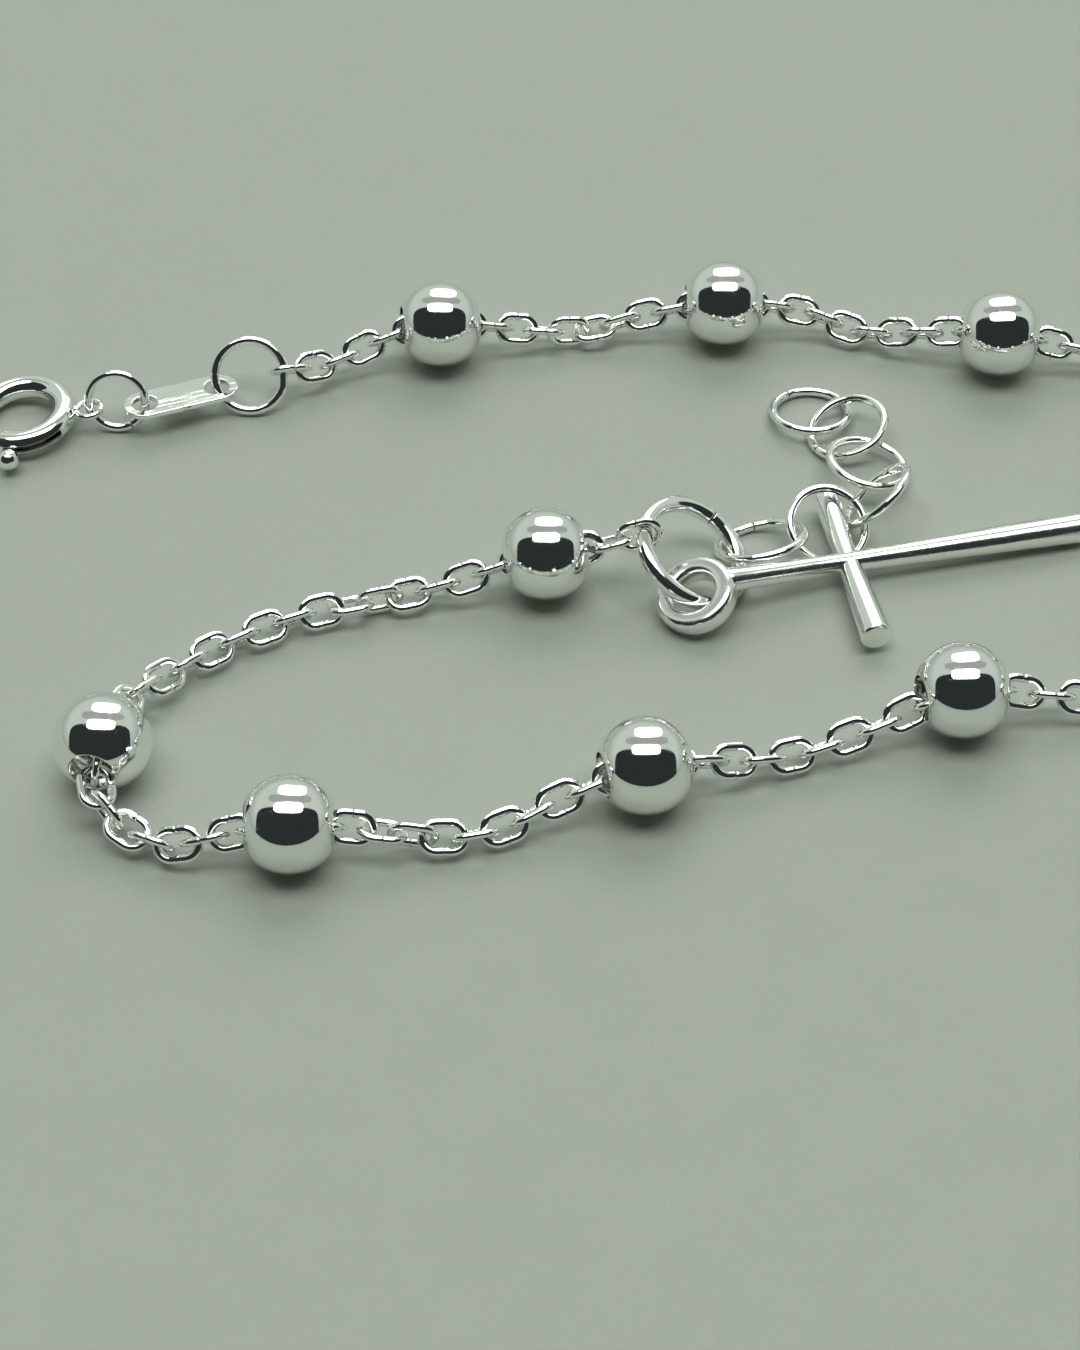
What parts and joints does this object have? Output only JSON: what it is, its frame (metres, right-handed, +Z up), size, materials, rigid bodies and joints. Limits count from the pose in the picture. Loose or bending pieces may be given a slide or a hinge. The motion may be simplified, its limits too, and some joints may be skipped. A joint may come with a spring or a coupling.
{
  "type": "rosary bracelet with spring ring clasp",
  "caption": "Open rosary bracelet of cable chain with hollow round beads, a cross on a bail, an extension of small rings and a spring ring clasp with a blank tag.",
  "frame": {"origin": "middle of the laid bracelet's footprint, on the surface that it lies on", "axes": "+X along the laid bracelet's long side, away from the clasp; +Y away from the viewer; +Z up"},
  "size_m": [0.0674, 0.036, 0.004],
  "materials": {
    "bead_silver": "mirror polished silver",
    "chain_silver": "polished silver wire",
    "ring_silver": "polished silver wire",
    "clasp_silver": "polished silver tube, lightly rubbed",
    "tag_silver": "polished silver sheet with fine scratches",
    "cross_silver": "polished cast silver"
  },
  "bodies": {
    "bracelet": {"clasp_body": "clasp_silver", "clasp_jump_ring": "ring_silver", "tag_plate": "tag_silver", "d_ring": "ring_silver", "chain_01": "chain_silver", "bead_01": "bead_silver", "chain_02": "chain_silver", "bead_02": "bead_silver", "chain_03": "chain_silver", "bead_03": "bead_silver", "chain_04": "chain_silver", "bead_04": "bead_silver", "chain_05": "chain_silver", "bead_05": "bead_silver", "chain_06": "chain_silver", "bead_06": "bead_silver", "chain_07": "chain_silver", "bead_07": "bead_silver", "chain_08": "chain_silver", "bead_08": "bead_silver", "chain_09": "chain_silver", "bead_09": "bead_silver", "chain_10": "chain_silver", "bead_10": "bead_silver", "chain_11": "chain_silver", "our_father_bead": "bead_silver", "chain_12": "chain_silver", "jump_ring": "ring_silver", "cross": "cross_silver", "extension_ring_1": "ring_silver", "extension_ring_2": "ring_silver", "extension_ring_3": "ring_silver", "extension_ring_4": "ring_silver", "extension_ring_5": "ring_silver", "extension_ring_6": "ring_silver"},
    "gate": {"clasp_gate": "clasp_silver"}
  },
  "joints": [
    {"name": "gate_slide_round", "type": "hinge", "parent": "bracelet", "child": "gate", "pos_m": [-0.03127, 0.00959, 0.00075], "axis": [-0.1045, 0, 0.9945], "range_deg": [0, 50], "stiffness_Nm_per_rad": 0.001, "springref_deg": -11.46}
  ]
}
